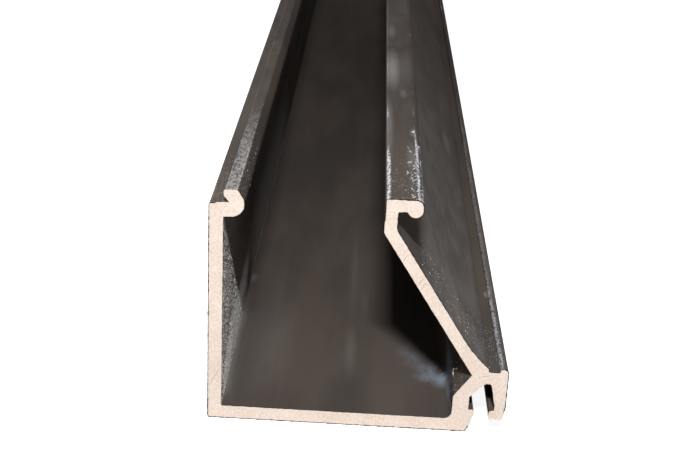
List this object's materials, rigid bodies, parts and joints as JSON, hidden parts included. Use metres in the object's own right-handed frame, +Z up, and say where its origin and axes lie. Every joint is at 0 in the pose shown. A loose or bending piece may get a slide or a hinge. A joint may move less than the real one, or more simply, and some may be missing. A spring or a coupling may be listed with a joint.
{
  "type": "aluminium extrusion profile",
  "caption": "Dark bronze aluminium frame extrusion: open channel with a snap hook, a splayed wall with a beaded flange, and a gasket groove under its foot, sawn square at both ends.",
  "frame": {"origin": "middle of the bar's length and of its width, on the surface that it lies on", "axes": "+Y along the bar, +Z up from the floor of the channel to its mouth, +X from the straight wall to the gasket leg"},
  "size_m": [0.045, 1, 0.0372],
  "materials": {
    "finish": "satin dark bronze anodised, bare metal on the sawn ends"
  },
  "bodies": {
    "root": {"extruded_profile": "finish"}
  },
  "joints": []
}
